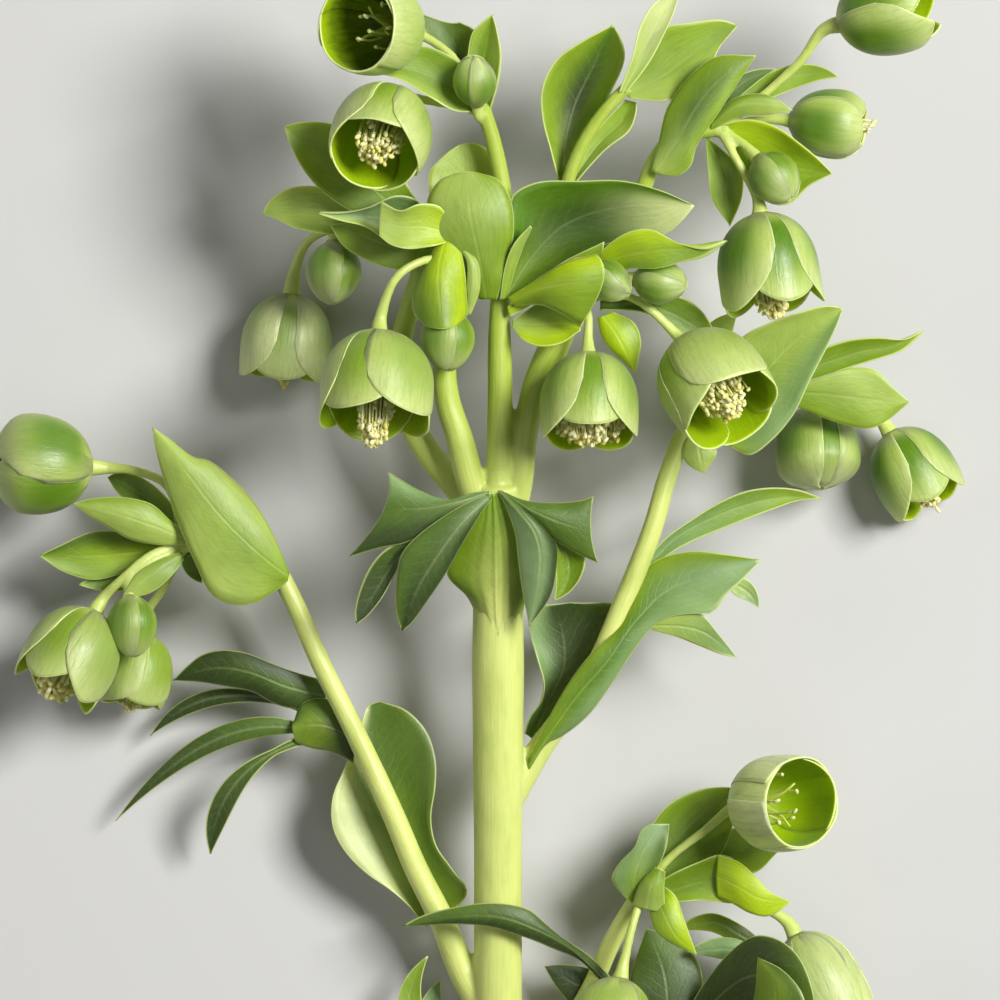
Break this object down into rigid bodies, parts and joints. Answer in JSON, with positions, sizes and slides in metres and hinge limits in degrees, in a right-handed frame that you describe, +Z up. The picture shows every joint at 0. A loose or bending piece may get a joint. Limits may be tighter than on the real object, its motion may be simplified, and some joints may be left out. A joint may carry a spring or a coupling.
{
  "type": "hellebore flower",
  "caption": "Cut flowering stem of a green hellebore lying down: branched stalk with nodding bells of overlapping sepals, buds, pale bracts and dark fingered leaves.",
  "frame": {"origin": "middle of the bounding box, on the surface that the flower lies on", "axes": "+Y along the stem from the cut end to the top bells, +X across it, +Z up from the surface"},
  "size_m": [0.1964, 0.246, 0.0634],
  "materials": {
    "stem": "fresh green stalk, satin, finely ribbed",
    "leaf": "dark green leathery leaf, satin, pale veins and margin",
    "bract": "soft yellow-green bract, satin, fine net of veins",
    "sepal": "pale green sepal, satin, veined, lighter at its edge",
    "bud": "pale green bud, smooth satin",
    "stamen": "cream threads with powdery anthers"
  },
  "bodies": {
    "root": {"flowering_stem": "stem", "flower_01": "sepal", "flower_02": "sepal", "flower_03": "sepal", "flower_04": "sepal", "flower_05": "sepal", "flower_06": "sepal", "flower_07": "sepal", "flower_08": "sepal", "flower_09": "sepal", "flower_10": "sepal", "flower_11": "sepal", "flower_12": "sepal", "flower_13": "sepal", "flower_14": "sepal", "flower_15": "sepal", "flower_16": "sepal", "flower_17": "sepal", "bud_01": "bud", "bud_02": "bud", "bud_03": "bud", "bud_04": "bud", "bud_05": "bud", "bud_06": "bud", "bud_07": "bud", "leaf_centre": "leaf", "bract_round": "bract", "bract_large": "bract", "leaf_left": "bract", "leaf_right": "leaf", "leaf_sheath_right": "leaf", "leaf_sheath_left": "leaf", "leaf_upper_middle": "leaf", "bracts_top": "bract", "bracts_upper_left": "bract", "bracts_hood": "bract", "bracts_middle_right": "bract", "bracts_upper_middle": "bract", "bracts_upper_right": "bract", "bracts_right": "bract", "bracts_left": "bract", "bracts_lower_right": "bract", "leaf_lower_right": "leaf", "leaf_shoot": "leaf", "stamens_01": "stamen", "stamens_02": "stamen", "stamens_03": "stamen", "stamens_04": "stamen", "stamens_05": "stamen", "stamens_06": "stamen", "stamens_07": "stamen", "stamens_08": "stamen", "stamens_09": "stamen", "stamens_11": "stamen", "stamens_13": "stamen", "stamens_14": "stamen", "stamens_15": "stamen", "stamens_16": "stamen", "stamens_17": "stamen"}
  },
  "joints": []
}
